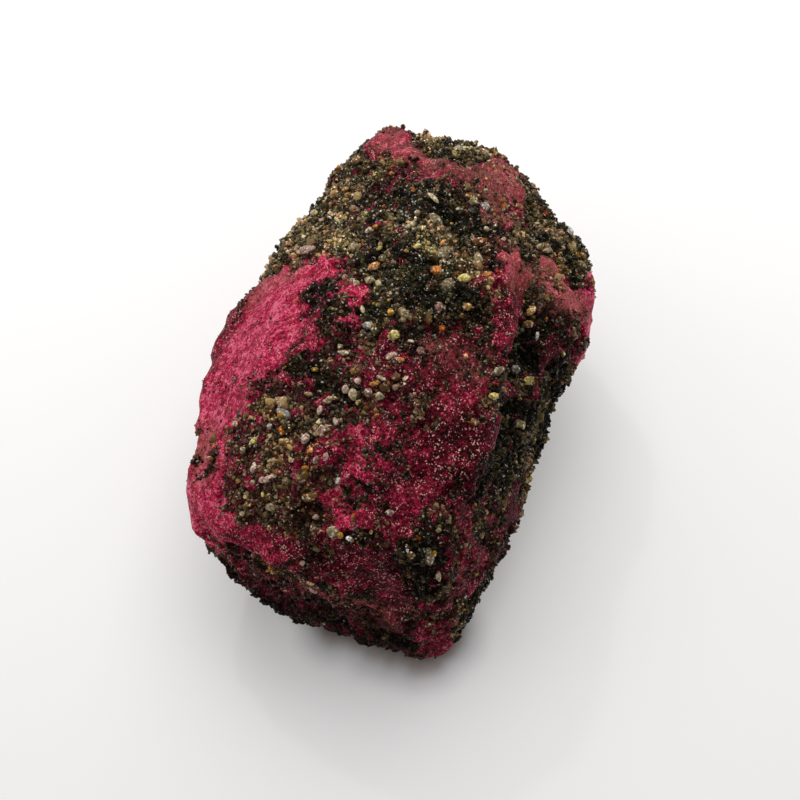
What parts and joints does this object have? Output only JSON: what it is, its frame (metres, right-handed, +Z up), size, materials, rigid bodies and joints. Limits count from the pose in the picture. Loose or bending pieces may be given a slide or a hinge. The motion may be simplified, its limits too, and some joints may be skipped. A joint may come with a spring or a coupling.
{
  "type": "rough ruby crystal",
  "caption": "Rough ruby crystal, worn to a blunt barrel, with a coat of cemented dark sand broken by windows of crimson stone.",
  "frame": {"origin": "in the plane of the flat face that it rests on, under the middle of its length and width", "axes": "+Z up; +Y along the crystal's length towards the blunt end with the clean knob, -Y towards the sharp low corner; +X towards the side with the ridge and the shoulder"},
  "size_m": [0.0322, 0.0478, 0.0263],
  "materials": {
    "ruby": "matte"
  },
  "bodies": {
    "root": {"ruby": "ruby"}
  },
  "joints": []
}
